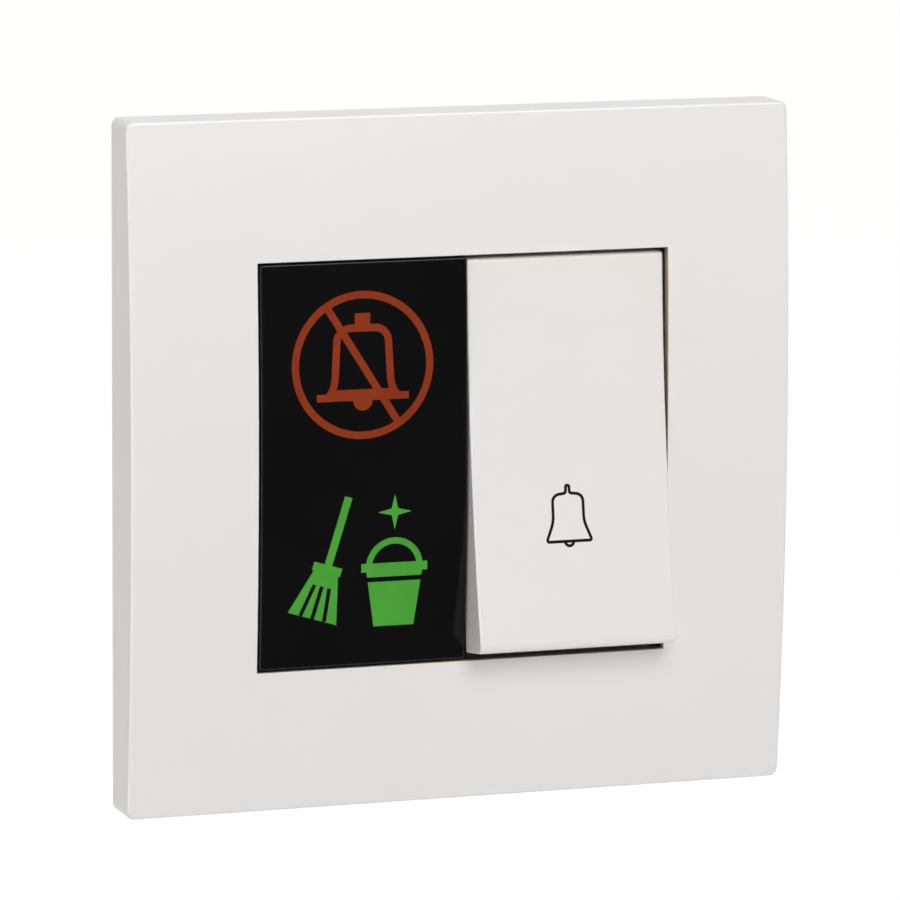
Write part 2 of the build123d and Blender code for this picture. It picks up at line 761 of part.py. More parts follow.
with BuildPart() as push_housing:
    housing_shell(right_flange_x, right_body_x)
    block(right_body_x, terminal_block_z, (-terminal_depth, -housing_depth))
    block(right_cavity_x, chamber_z, (-chamber_depth, flange_top + overcut), Mode.SUBTRACT)
    block(right_cavity_x, core_z, (-housing_depth - overcut, flange_top - deck_wall), Mode.SUBTRACT)
    # Cross ribs stiffen the core
    core_width = right_cavity_x[1] - right_cavity_x[0]
    for i in (1, 2):
        rib_centre = right_cavity_x[0] + i * core_width / 3
        rib_band = (rib_centre - core_rib / 2, rib_centre + core_rib / 2)
        block(rib_band, core_z, (-housing_depth, flange_top - deck_wall))
    rib_centre = sum(core_z) / 2
    rib_band = (rib_centre - core_rib / 2, rib_centre + core_rib / 2)
    block(right_cavity_x, rib_band, (-housing_depth, flange_top - deck_wall))
    # Posts carry the fixed contacts and a hollow boss guides the plunger
    for x in push_terminal_places:
        block((x - post_width / 2, x + post_width / 2), contact_band, (-chamber_depth, fixed_strip_back))
    guide_boss_radius = stem_radius + stem_clearance + guide_boss_wall
    guide_boss_top = guide_boss_height - chamber_depth
    rod(right_centre_x, -lever_arm, (-chamber_depth, guide_boss_top), guide_boss_radius)
    stem_end = head_back - stem_length
    stem_bore = (stem_end - plunger_travel - stem_end_clearance, guide_boss_top + overcut)
    rod(right_centre_x, -lever_arm, stem_bore, stem_radius + stem_clearance, Mode.SUBTRACT)
    terminal_pockets(push_terminal_places)
    leg_z = (contact_band[0] - 2 * strip_thickness, contact_band[0] - strip_thickness)
    for x in push_terminal_places:
        slot_x = (x - bridge_width / 2 - pin_slot_clearance, x + bridge_width / 2 + pin_slot_clearance)
        slot_z = (leg_z[0] - pin_slot_clearance, leg_z[1] + pin_slot_clearance)
        block(slot_x, slot_z, (-terminal_front - overcut, overcut - chamber_depth), Mode.SUBTRACT)
    # Bearing holes for the pivot pin
    with Locations(Location((right_centre_x, -pivot_height, 0), (0, 90, 0))):
        Cylinder(pivot_pin_radius + pin_fit, push_width, mode=Mode.SUBTRACT)
save(push_housing, "push_housing")

# Fixed contacts: brass strips on the posts, each with a leg down to its terminal
with BuildPart() as fixed_contacts:
    for x in push_terminal_places:
        strip_x = (x - bridge_width / 2, x + bridge_width / 2)
        block(strip_x, (leg_z[0], contact_band[1]), (fixed_strip_back, fixed_strip_front))
        block(strip_x, leg_z, (-terminal_front, fixed_strip_front))
save(fixed_contacts, "fixed_contacts")

with BuildPart() as fixed_contact_tips:
    for x in push_terminal_places:
        rod(x, -lever_arm, (fixed_strip_front, fixed_tip_front), fixed_tip_radius)
save(fixed_contact_tips, "fixed_contact_tips")

with BuildPart() as push_terminals:
    terminals(push_terminal_places)
save(push_terminals, "push_terminals")

with BuildPart() as push_terminal_screws:
    clamp_screws(push_terminal_places)
save(push_terminal_screws, "push_terminal_screws")

# Plunger: a flat head under the rocker's leg and a stem that slides in the guide
with BuildPart() as push_plunger:
    with BuildSketch(Plane.XZ.offset(head_back)):
        with Locations((right_centre_x, -lever_arm)):
            RectangleRounded(plunger_head_width, plunger_head_height, plunger_edge)
    extrude(amount=plunger_head_thickness)
    chamfer(push_plunger.faces().sort_by(Axis.Y)[0].edges(), plunger_edge)
    rod(right_centre_x, -lever_arm, (stem_end, head_back), stem_radius)
save(push_plunger, "push_plunger")

# Bridge contact: a brass strip under the plunger's head, joined across the two fixed contacts when pressed
with BuildPart() as bridge_contact:
    bridge_x = (push_terminal_places[0] - bridge_end, push_terminal_places[1] + bridge_end)
    block(bridge_x, contact_band, (bridge_back, head_back))
    stem_hole = (bridge_back - overcut, head_back + overcut)
    rod(right_centre_x, -lever_arm, stem_hole, stem_radius + thread_clearance, Mode.SUBTRACT)
save(bridge_contact, "bridge_contact")

with BuildPart() as bridge_contact_tips:
    for x in push_terminal_places:
        rod(x, -lever_arm, (moving_tip_back, bridge_back), moving_tip_radius)
save(bridge_contact_tips, "bridge_contact_tips")

# Return spring: round wire coiled about the stem, between the bridge contact and the floor
spring_radius = guide_boss_radius + spring_boss_gap + spring_wire_radius
spring_front = bridge_back - spring_end_gap - spring_wire_radius
spring_height = spring_front - (spring_wire_radius - chamber_depth)
with BuildPart() as return_spring:
    spring_plane = Plane(
        origin=(right_centre_x, -(spring_wire_radius - chamber_depth), -lever_arm),
        x_dir=(1, 0, 0),
        z_dir=(0, -1, 0),
    )
    coil = spring_plane.location * Helix(spring_height / spring_turns, spring_height, spring_radius)
    with BuildSketch(Plane(origin=coil @ 0, z_dir=coil % 0)):
        Circle(spring_wire_radius)
    sweep(path=coil, is_frenet=True)
save(return_spring, "return_spring")

# Pivot pin: plain steel pin across the push housing
with BuildPart() as rocker_pivot_pin:
    pin_length = push_width - 2 * pin_end_inset
    with Locations(Location((right_centre_x, -pivot_height, 0), (0, 90, 0))):
        Cylinder(pivot_pin_radius, pin_length)
    chamfer(rocker_pivot_pin.edges().filter_by(GeomType.CIRCLE), pin_end_inset)
save(rocker_pivot_pin, "rocker_pivot_pin")

# Rocker: a hollow key with a dished face, two ears on the pivot pin and a leg over the plunger
rocker_top_z = half_window_z - rocker_top_gap
rocker_bottom_z = rocker_foot_gap - half_window_z
back_top = flange_top + stop_gap
# The back slopes by half the travel, and the foot leans by the whole of it, so that the foot is square to
# the wall when the rocker is pressed. The height of the back's lower end is where the two meet.
back_slope = tan(radians(rocker_travel / 2))
foot_slope = tan(radians(rocker_travel))
back_run = rocker_top_z - rocker_bottom_z + rocker_lip_height * foot_slope
back_bottom = (back_top + back_run * back_slope) / (1 + foot_slope * back_slope)


def foot_at(height):
    """Z of the key's leaning foot at a height above the wall."""
    return rocker_bottom_z - (rocker_lip_height - height) * foot_slope


def rocker_profile(inset):
    """Side view of the key at rest, in Y and Z, with its face and its two ends drawn in by `inset`."""
    with BuildSketch(Plane.YZ) as profile:
        with BuildLine():
            face = ThreePointArc(
                (inset - rocker_top_height, rocker_top_z - inset),
                (inset - rocker_hollow_height, rocker_hollow_z),
                (inset - rocker_lip_height, foot_at(rocker_lip_height - inset) + inset),
            )
            Polyline(
                face @ 1,
                (-back_bottom, foot_at(back_bottom) + inset),
                (-back_top, rocker_top_z - inset),
                face @ 0,
            )
        make_face()
        fillet(profile.vertices().sort_by(Axis.X)[0], rocker_lip_radius)
    return profile.sketch


rocker_width = rocker_x[1] - rocker_x[0]
rocker_centre_x = sum(rocker_x) / 2
with BuildPart() as rocker_cells:
    extrude(rocker_profile(rocker_skin), amount=rocker_width / 2 - rocker_wall, both=True)
    cell_pitch = (rocker_width - 2 * rocker_wall) / 3
    for i in (-1, 1):
        rib_band = (i * cell_pitch / 2 - rocker_rib / 2, i * cell_pitch / 2 + rocker_rib / 2)
        block(rib_band, (rocker_bottom_z, rocker_top_z), (0, 2 * crown_height), Mode.SUBTRACT)
    for z in rocker_rib_rows:
        rib_band = (z - rocker_rib / 2, z + rocker_rib / 2)
        block((-rocker_width / 2, rocker_width / 2), rib_band, (0, 2 * crown_height), Mode.SUBTRACT)
with BuildPart() as bell_rocker:
    key = extrude(rocker_profile(0), amount=rocker_width / 2, both=True, mode=Mode.PRIVATE)
    add(key.moved(Location((rocker_centre_x, 0, 0))))
    fillet(bell_rocker.edges().filter_by(Axis.X).sort_by(Axis.Z)[-2:].sort_by(Axis.Y)[0], rocker_top_radius)
    fillet(bell_rocker.edges().filter_by(GeomType.CIRCLE), rocker_edge)
    add(rocker_cells.part.moved(Location((rocker_centre_x, 0, 0))), mode=Mode.SUBTRACT)
    for side in (-1, 1):
        ear_x = right_centre_x + side * ear_place
        ear_band = (ear_x - ear_width / 2, ear_x + ear_width / 2)
        block(ear_band, (-ear_radius, ear_radius), (pivot_height, rocker_hollow_height - rocker_skin / 2))
        with Locations(Location((ear_x, -pivot_height, 0), (0, 90, 0))):
            Cylinder(ear_radius, ear_width)
    with Locations(Location((right_centre_x, -pivot_height, 0), (0, 90, 0))):
        Cylinder(pivot_pin_radius + pivot_clearance, push_width, mode=Mode.SUBTRACT)
    leg_x = (right_centre_x - leg_width / 2, right_centre_x + leg_width / 2)
    leg_band = (-lever_arm - leg_tip_radius, -lever_arm + leg_tip_radius)
    block(leg_x, leg_band, (leg_tip_height, rocker_hollow_height))
    with Locations(Location((right_centre_x, -leg_tip_height, -lever_arm), (0, 90, 0))):
        Cylinder(leg_tip_radius, leg_width)
save(bell_rocker, "bell_rocker")
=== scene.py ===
import math

import bpy
import numpy as np
from mathutils import Matrix, Vector


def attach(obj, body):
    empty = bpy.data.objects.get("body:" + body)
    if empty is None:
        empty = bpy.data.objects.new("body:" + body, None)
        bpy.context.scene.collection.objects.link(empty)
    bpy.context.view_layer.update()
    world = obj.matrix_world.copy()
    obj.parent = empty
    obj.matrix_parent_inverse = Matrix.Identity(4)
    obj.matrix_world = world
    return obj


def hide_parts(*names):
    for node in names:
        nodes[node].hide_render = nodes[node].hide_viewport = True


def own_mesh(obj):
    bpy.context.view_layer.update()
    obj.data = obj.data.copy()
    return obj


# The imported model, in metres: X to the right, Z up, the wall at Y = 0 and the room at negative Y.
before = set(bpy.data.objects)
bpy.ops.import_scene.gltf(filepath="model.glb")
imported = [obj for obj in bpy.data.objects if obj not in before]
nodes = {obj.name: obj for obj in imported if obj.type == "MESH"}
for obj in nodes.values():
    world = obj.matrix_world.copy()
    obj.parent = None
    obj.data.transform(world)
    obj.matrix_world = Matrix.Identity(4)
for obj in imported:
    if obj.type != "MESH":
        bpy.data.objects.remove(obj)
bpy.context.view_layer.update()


# Camera: it stands 0.8 m off, left of the plate and a little above it, through a long lens. It leans by a
# third of a degree, and the plate sits a little left of the middle of the picture.
camera_place = Vector((-0.2624, -0.7451, 0.1294))
camera_yaw = math.radians(19.4)
camera_pitch = math.radians(9.302)
camera_lean = math.radians(0.346)
forward = Vector((
    math.sin(camera_yaw) * math.cos(camera_pitch),
    math.cos(camera_yaw) * math.cos(camera_pitch),
    -math.sin(camera_pitch),
))
level = Vector((math.cos(camera_yaw), -math.sin(camera_yaw), 0))
right = level * math.cos(camera_lean) + level.cross(forward) * math.sin(camera_lean)
camera_axes = Matrix((right, right.cross(forward), -forward)).transposed().to_4x4()
camera = bpy.data.objects.new("camera", bpy.data.cameras.new("camera"))
camera.matrix_world = Matrix.Translation(camera_place) @ camera_axes
camera.data.sensor_width = 36
camera.data.lens = 257.13
camera.data.shift_x = 0.0069
camera.data.shift_y = -0.00013
scene = bpy.context.scene
scene.collection.objects.link(camera)
scene.camera = camera
scene.view_settings.view_transform = "Standard"


# Room light: a white studio. What lights the part is softer in front of the wall than behind it, so faces
# in a gap go dark as they do in the photograph, and what gloss, glass and camera see is plain white.
def linear(colour):
    """Turns an sRGB hex colour into linear light: a channel c becomes c / 12.92 up to 0.04045, and
    ((c + 0.055) / 1.055) to the power 2.4 above it."""
    channels = np.array([int(colour[i:i + 2], 16) for i in (1, 3, 5)]) / 255
    bright = ((channels + 0.055) / 1.055) ** 2.4
    return (*np.where(channels <= 0.04045, channels / 12.92, bright).tolist(), 1.0)


def add_node(tree, kind, inputs=None, **settings):
    """Adds a node, makes its settings, and fills its inputs: an output of another node is linked, and
    anything else becomes the socket's own value."""
    node = tree.nodes.new(kind)
    for name, value in settings.items():
        setattr(node, name, value)
    for name, value in (inputs or {}).items():
        if isinstance(value, bpy.types.NodeSocket):
            tree.links.new(value, node.inputs[name])
        else:
            node.inputs[name].default_value = value
    return node


def seen_white(tree):
    """One for rays that come from the camera, a glossy surface or glass, and nought for the others."""
    path = add_node(tree, "ShaderNodeLightPath")
    shiny = add_node(tree, "ShaderNodeMath", {
        0: path.outputs["Is Glossy Ray"],
        1: path.outputs["Is Transmission Ray"],
    }, operation="MAXIMUM")
    return add_node(tree, "ShaderNodeMath", {
        0: path.outputs["Is Camera Ray"],
        1: shiny.outputs["Value"],
    }, operation="MAXIMUM").outputs["Value"]


# Strengths of the light from in front of the wall and from behind it. One turns into the other where the
# Y of a direction, whose length is one, goes from minus the turn to plus the turn.
front_light = 0.255
back_light = 0.78
light_turn = 0.25
world = bpy.data.worlds.new("white_studio")
world.use_nodes = True
scene.world = world
sky = world.node_tree
sky.nodes.clear()
toward = add_node(sky, "ShaderNodeTexCoord")
axes = add_node(sky, "ShaderNodeSeparateXYZ", {"Vector": toward.outputs["Generated"]})
ambient = add_node(sky, "ShaderNodeMapRange", {
    "Value": axes.outputs["Y"],
    "From Min": -light_turn,
    "From Max": light_turn,
    "To Min": front_light,
    "To Max": back_light,
})
soft_light = add_node(sky, "ShaderNodeBackground", {
    "Color": linear("#FFFFFF"),
    "Strength": ambient.outputs["Result"],
})
white_wall = add_node(sky, "ShaderNodeBackground", {"Color": linear("#FFFFFF"), "Strength": 1.0})
room = add_node(sky, "ShaderNodeMixShader", {
    0: seen_white(sky),
    1: soft_light.outputs["Background"],
    2: white_wall.outputs["Background"],
})
add_node(sky, "ShaderNodeOutputWorld", {"Surface": room.outputs["Shader"]})


# Studio lamps: a soft box in front of the plate and above it lights the face, fading towards the bottom,
# and a faint one fills in from the left. Two strips, one overhead and one on the left, only draw the
# bright lines along the top and left edges.
def soft_box(name, place, size, level, gloss_only=False):
    """An oblong lamp that faces the part. Its power is pi squared times the distance squared times the level
    that it adds to a white face turned towards it. For gloss only, it lights no matt surface."""
    lamp = bpy.data.objects.new(name, bpy.data.lights.new(name, "AREA"))
    place = Vector(place)
    lamp.data.shape = "RECTANGLE"
    lamp.data.size, lamp.data.size_y = size
    lamp.data.energy = math.pi**2 * place.length_squared * level
    lamp.matrix_world = Matrix.Translation(place) @ place.to_track_quat("Z", "Y").to_matrix().to_4x4()
    lamp.visible_diffuse = not gloss_only
    scene.collection.objects.link(lamp)


soft_box("front_soft_box", (-0.02, -0.46, 0.28), (0.30, 0.30), level=0.63)
soft_box("overhead_strip", (0.20, -0.30, 0.36), (0.44, 0.06), level=0.6, gloss_only=True)
soft_box("left_strip", (-0.46, -0.17, -0.08), (0.06, 0.44), level=0.8, gloss_only=True)
soft_box("left_fill", (-0.50, -0.06, 0.05), (0.20, 0.40), level=0.045)


# Floor: a sheet of white paper far larger than the picture, below the plate, that keeps a soft shadow.
# It glows just enough for the camera to see it white.
def skin(points, ring=True, loop=False, capped=True):
    """Faces between the neighbouring rows and columns of a grid of points. A ring joins the last column to
    the first, a loop joins the last row to the first, and a cap closes each end of a ring with one face.
    Columns that turn right-handed about the way the rows go give faces that point outwards."""
    rows, columns = points.shape[:2]
    index = np.arange(rows * columns).reshape(rows, columns)
    caps = [index[:1, ::-1], index[-1:]] if capped and ring and not loop else []
    if ring:
        index = np.hstack([index, index[:, :1]])
    if loop:
        index = np.vstack([index, index[:1]])
    quads = np.stack([index[:-1, :-1], index[:-1, 1:], index[1:, 1:], index[1:, :-1]], axis=-1)
    return points.reshape(-1, 3), [quads.reshape(-1, 4), *caps]


def solid(name, skins, material, crease=32):
    """Joins skins into one mesh object at the origin. Edges sharper than the crease, in degrees, stay
    sharp and the rest are smooth."""
    starts = np.cumsum([0] + [len(points) for points, faces in skins])
    joined = []
    for start, (points, blocks) in zip(starts, skins):
        for block in blocks:
            joined += (block + start).tolist()
    mesh = bpy.data.meshes.new(name)
    mesh.from_pydata(np.vstack([points for points, faces in skins]).tolist(), [], joined)
    mesh.shade_smooth()
    mesh.set_sharp_from_angle(angle=math.radians(crease))
    mesh.materials.append(material)
    piece = bpy.data.objects.new(name, mesh)
    scene.collection.objects.link(piece)
    return piece


floor_level = -0.2
floor_reach = 4.0
fibre_width = 2.5
paper_glow = 0.55
# A mix node's colour sockets by number: the two colours that go in and the one that comes out
mix_first = 6
mix_second = 7
mix_result = 2
# White paper: matt, with a faint mottle that is drawn far coarser than real fibres, so that it can show
paper = bpy.data.materials.new("white_paper")
paper.use_nodes = True
tree = paper.node_tree
tree.nodes.clear()
fibre = add_node(tree, "ShaderNodeTexNoise", {
    "Vector": add_node(tree, "ShaderNodeTexCoord").outputs["Object"],
    "Scale": 1000 / fibre_width,
    "Detail": 3.0,
})
sheet_colour = add_node(tree, "ShaderNodeMix", {
    "Factor": fibre.outputs["Fac"],
    mix_first: linear("#EDEDEB"),
    mix_second: linear("#F2F2F0"),
}, data_type="RGBA")
sheet_face = add_node(tree, "ShaderNodeBsdfDiffuse", {"Color": sheet_colour.outputs[mix_result]})
glow = add_node(tree, "ShaderNodeMath", {0: seen_white(tree), 1: paper_glow}, operation="MULTIPLY")
sheet_glow = add_node(tree, "ShaderNodeEmission", {
    "Color": linear("#FFFFFF"),
    "Strength": glow.outputs["Value"],
})
sheet = add_node(tree, "ShaderNodeAddShader", {
    0: sheet_face.outputs["BSDF"],
    1: sheet_glow.outputs["Emission"],
})
add_node(tree, "ShaderNodeOutputMaterial", {"Surface": sheet.outputs["Shader"]})
floor_line = np.linspace(-floor_reach, floor_reach, 9)
across, along = np.meshgrid(floor_line, floor_line)
floor_points = np.stack([across, along, np.full_like(across, floor_level)], axis=-1)
floor = solid("floor", [skin(floor_points, ring=False)], paper)


# Black card: hangs where the glossy lens would mirror the bright room into the camera, so the lens shows
# black, as it does in the photograph. Only reflections see it.
card_distance = 0.33
card_width = 0.13
card_height = 0.27
lens_middle = Vector((-0.013, 0, 0))
pile_width = 1.5
mirrored = Vector((forward.x, -forward.y, forward.z))
card_place = lens_middle + mirrored * card_distance
card_side = Vector((-forward.y, -forward.x, 0)).normalized()
card_up = card_side.cross(mirrored)
# Black felt: a deep, matt black, with its pile drawn coarser than the real one so that it can show
felt = bpy.data.materials.new("black_felt")
felt.use_nodes = True
tree = felt.node_tree
tree.nodes.clear()
felt_pile = add_node(tree, "ShaderNodeTexNoise", {
    "Vector": add_node(tree, "ShaderNodeTexCoord").outputs["Object"],
    "Scale": 1000 / pile_width,
})
felt_colour = add_node(tree, "ShaderNodeMix", {
    "Factor": felt_pile.outputs["Fac"],
    mix_first: linear("#050505"),
    mix_second: linear("#0B0B0B"),
}, data_type="RGBA")
felt_face = add_node(tree, "ShaderNodeBsdfDiffuse", {"Color": felt_colour.outputs[mix_result]})
add_node(tree, "ShaderNodeOutputMaterial", {"Surface": felt_face.outputs["BSDF"]})
card_line = np.linspace(-0.5, 0.5, 5)
across, along = np.meshgrid(card_line * card_width, card_line * card_height)
card_points = (
    np.array(card_place)
    + across[..., None] * np.array(card_side)
    + along[..., None] * np.array(card_up)
)
card = solid("black_card", [skin(card_points, ring=False)], felt)
card.visible_camera = False
card.visible_diffuse = False
card.visible_shadow = False


# Cover plate: a single moulding of white ABS from a polished, lightly blasted mould, snapped over the
# support frame by four pegs. The crowned face is satin and its edges catch the light.
def mottled(tree, place, size, first, second):
    """A colour that drifts between two others over patches of a size in millimetres: the middle of a
    noise's range, from 0.3 to 0.7, is stretched to the whole way from the first to the second."""
    patches = add_node(tree, "ShaderNodeTexNoise", {"Vector": place, "Scale": 1000 / size, "Detail": 2.0})
    spread = add_node(tree, "ShaderNodeMapRange", {
        "Value": patches.outputs["Fac"],
        "From Min": 0.3,
        "From Max": 0.7,
    })
    colour = add_node(tree, "ShaderNodeMix", {
        "Factor": spread.outputs["Result"],
        mix_first: linear(first),
        mix_second: linear(second),
    }, data_type="RGBA")
    return spread.outputs["Result"], colour.outputs[mix_result]


def plastic(name, colours, roughness, ior, grain, relief, patch=16.0, sockets=None):
    """Moulded plastic. The colour drifts between two near ones, the roughness with it by seven hundredths
    each way, and the grain of the mould is a noise with a width and a height in millimetres. Other sockets
    take plain values."""
    gloss_drift = 0.07
    material = bpy.data.materials.new(name)
    material.use_nodes = True
    tree = material.node_tree
    tree.nodes.clear()
    place = add_node(tree, "ShaderNodeTexCoord").outputs["Object"]
    drift, colour = mottled(tree, place, patch, *colours)
    gloss = add_node(tree, "ShaderNodeMapRange", {
        "Value": drift,
        "To Min": roughness * (1 - gloss_drift),
        "To Max": roughness * (1 + gloss_drift),
    })
    texture = add_node(tree, "ShaderNodeTexNoise", {"Vector": place, "Scale": 1000 / grain, "Detail": 2.0})
    bump = add_node(tree, "ShaderNodeBump", {"Height": texture.outputs["Fac"], "Distance": relief / 1000})
    shader = add_node(tree, "ShaderNodeBsdfPrincipled", {
        "Base Color": colour,
        "Roughness": gloss.outputs["Result"],
        "IOR": ior,
        "Normal": bump.outputs["Normal"],
        **(sockets or {}),
    })
    add_node(tree, "ShaderNodeOutputMaterial", {"Surface": shader.outputs["BSDF"]})
    return material


def dress(material, *names):
    """Puts a material into every slot of carried-over nodes."""
    for name in names:
        for place in nodes[name].material_slots:
            place.material = material


# Half the window's width and height, and the shares of them over which the shade painted on its walls fades
# out
window_half = (0.0267, 0.02535)
window_shade_fade = (1.001, 1.004)


def paint_window_shade(material, colour):
    """Painted shade on the walls of the window: a darker, warmer grey where the larger of x over the window's
    half width and z over its half height, both without their signs, is no more than one."""
    tree = material.node_tree
    shader = next(node for node in tree.nodes if node.type == "BSDF_PRINCIPLED")
    place = add_node(tree, "ShaderNodeTexCoord").outputs["Object"]
    share = add_node(tree, "ShaderNodeVectorMath", {
        0: place,
        1: (1 / window_half[0], 0.0, 1 / window_half[1]),
    }, operation="MULTIPLY")
    unsigned = add_node(tree, "ShaderNodeVectorMath", {0: share.outputs["Vector"]}, operation="ABSOLUTE")
    axes = add_node(tree, "ShaderNodeSeparateXYZ", {"Vector": unsigned.outputs["Vector"]})
    larger = add_node(tree, "ShaderNodeMath", {
        0: axes.outputs["X"],
        1: axes.outputs["Z"],
    }, operation="MAXIMUM")
    wall = add_node(tree, "ShaderNodeMapRange", {
        "Value": larger.outputs["Value"],
        "From Min": window_shade_fade[0],
        "From Max": window_shade_fade[1],
        "To Min": 1.0,
        "To Max": 0.0,
    })
    # Painted shade: the window's walls take the darker, warmer grey, fading out towards their front edges
    painted_shade = add_node(tree, "ShaderNodeMix", {
        "Factor": wall.outputs["Result"],
        mix_first: shader.inputs["Base Color"].links[0].from_socket,
        mix_second: linear(colour),
    }, data_type="RGBA")
    tree.links.new(painted_shade.outputs[mix_result], shader.inputs["Base Color"])


# Satin white ABS: a soft, wide sheen over an even warm white, with a grain too fine to see as more than
# a slight softness. The walls of its window carry painted shade, a darker, warmer grey for the shade in the
# gaps.
satin_abs = plastic(
    "satin_white_abs", ("#ECE8E6", "#EAE6E4"), roughness=0.33, ior=1.53, grain=0.3, relief=0.0035,
)
# Painted shade: the walls of the window are coloured a darker, warmer grey for the shade round the modules
paint_window_shade(satin_abs, "#9A8A79")
dress(satin_abs, "cover_plate")


# Bell rocker: a hollow key moulded in the same ABS, but from another tool and batch, so it is a shade
# warmer. It swings on the pivot pin and the leg behind it works the plunger.
rocker_abs = plastic(
    "rocker_white_abs", ("#ECE9E6", "#EAE7E4"), roughness=0.32, ior=1.53, grain=0.28, relief=0.003,
)
dress(rocker_abs, "bell_rocker")


# Bell print: the outline of a bell, pad-printed in black ink on the rocker's hollowed face. The line is a
# little over a third of a millimetre wide and stands a hair above the plastic.
def rounded_path(corners, radii, step):
    """A closed path through straight runs, with each corner on an arc of its radius that touches both runs,
    as points an even step apart."""
    corners = np.array(corners)
    before = np.roll(corners, 1, axis=0) - corners
    after = np.roll(corners, -1, axis=0) - corners
    before /= np.linalg.norm(before, axis=1, keepdims=True)
    after /= np.linalg.norm(after, axis=1, keepdims=True)
    half_angle = np.arccos(np.clip((before * after).sum(1), -1, 1))[:, None] / 2
    radius = np.array(radii)[:, None]
    middle = before + after
    centre = corners + middle / np.linalg.norm(middle, axis=1, keepdims=True) * radius / np.sin(half_angle)
    first = corners + before * radius / np.tan(half_angle) - centre
    last = corners + after * radius / np.tan(half_angle) - centre
    turn = math.pi - 2 * half_angle[..., None]
    share = np.linspace(0, 1, 25)[None, :, None]
    arc = (np.sin((1 - share) * turn) * first[:, None] + np.sin(share * turn) * last[:, None]) / np.sin(turn)
    points = (centre[:, None] + arc).reshape(-1, 2)
    points = np.vstack([points, points[:1]])
    length = np.concatenate([[0], np.cumsum(np.linalg.norm(np.diff(points, axis=0), axis=1))])
    places = np.linspace(0, length[-1], int(length[-1] / step), endpoint=False)
    return np.stack([np.interp(places, length, points[:, i]) for i in (0, 1)], axis=1)


# The rocker's face seen from the side is an arc through its top edge, its hollow and its lower lip, here
# as Z and Y. A point of the node lies on it within the slack, and no further back than the rim.
arc_z = np.array([24.8, 1.2, -23.6]) / 1000
arc_y = np.array([-6.5, -8.6, -12.9]) / 1000
arc_slack = 0.00001
rim_y = arc_y[0] + 0.0005


def face_y(z):
    """Y of the rocker's face at a height z: the circle through the arc's three points is worked out, the
    node's own points that lie on it are put in order, and y is read between them."""
    sides = np.stack([2 * np.diff(arc_z), 2 * np.diff(arc_y)], axis=1)
    centre = np.linalg.solve(sides, np.diff(arc_z**2 + arc_y**2))
    radius = math.hypot(arc_z[0] - centre[0], arc_y[0] - centre[1])
    points = np.empty(3 * len(nodes["bell_rocker"].data.vertices))
    nodes["bell_rocker"].data.vertices.foreach_get("co", points)
    points = points.reshape(-1, 3)
    off = np.hypot(points[:, 2] - centre[0], points[:, 1] - centre[1]) - radius
    on_face = points[(np.abs(off) < arc_slack) & (points[:, 1] < rim_y)]
    on_face = on_face[np.argsort(on_face[:, 2])]
    return np.interp(z, on_face[:, 2], on_face[:, 1])


line_width = 0.00037
line_proud = 0.000012
line_sunk = 0.00001


def printed_line(path, loop):
    """A flat ribbon along a path of x and z: its four corners are half the width to each side, and just
    in front of and just inside the face, and the section is carried along the path."""
    if loop:
        way = np.roll(path, -1, axis=0) - np.roll(path, 1, axis=0)
    else:
        way = np.gradient(path, axis=0)
    way /= np.linalg.norm(way, axis=1, keepdims=True)
    side = np.stack([way[:, 1], -way[:, 0]], axis=1) * line_width / 2
    outer = path + side
    inner = path - side
    edges = [(outer, -line_proud), (outer, line_sunk), (inner, line_sunk), (inner, -line_proud)]
    corners = [
        np.stack([edge[:, 0], face_y(edge[:, 1]) + offset, edge[:, 1]], axis=1)
        for edge, offset in edges
    ]
    return skin(np.stack(corners, axis=1), loop=loop)


# The right half of the bell as corners from its top to its foot, from the bell's middle line, and the
# radius of each corner
bell_x = 0.01295
bell_half = np.array([
    (0.22, -3.60),
    (0.25, -4.56),
    (2.00, -4.76),
    (2.02, -8.05),
    (3.00, -10.46),
]) / 1000
bell_radii = np.array([0.20, 0.34, 0.95, 4.0, 0.22]) / 1000
point_step = 0.00006
clapper_radius = 0.00056
outline = np.vstack([bell_half, bell_half[::-1] * (-1, 1)])
outline = rounded_path(outline, np.concatenate([bell_radii, bell_radii[::-1]]), point_step) + (bell_x, 0)
swing = np.linspace(0, math.pi, 41)[:, None]
clapper = np.hstack([np.cos(swing), -np.sin(swing)]) * clapper_radius + (bell_x, bell_half[-1, 1])
# Pad-printing ink: black and dull beside the plastic, with a faintly uneven gloss
printing_ink = plastic(
    "black_printing_ink", ("#060606", "#0B0A0A"), roughness=0.6, ior=1.5, grain=0.12, relief=0.001, patch=1.5,
    sockets={"Specular IOR Level": 0.1},
)
bell_print = solid("bell_print", [
    printed_line(outline, loop=True),
    printed_line(clapper, loop=False),
], printing_ink)
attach(bell_print, "rocker")


# Indicator lens: a shallow cap moulded in black acrylic and left polished, clipped over the light box.
# It mirrors the room faintly, and its edges show as thin grey lines.
black_acrylic = plastic(
    "polished_black_acrylic", ("#101011", "#131314"), roughness=0.09, ior=1.49, grain=6.0, relief=0.0015,
    sockets={"Specular IOR Level": 0.2},
)
dress(black_acrylic, "indicator_lens")


# Legends: the two signs are let into the lens in clear coloured acrylic, flush with its face. Unlit, they
# show the opal sheet behind them, so they look solid and a little dark.
red_acrylic = plastic(
    "red_acrylic", ("#91391C", "#89351A"), roughness=0.16, ior=1.49, grain=0.5, relief=0.001, patch=5.0,
)
green_acrylic = plastic(
    "green_acrylic", ("#50A83D", "#4A9F38"), roughness=0.16, ior=1.49, grain=0.5, relief=0.001, patch=5.0,
)
dress(red_acrylic, "do_not_disturb_legend")
dress(green_acrylic, "make_up_room_legend")


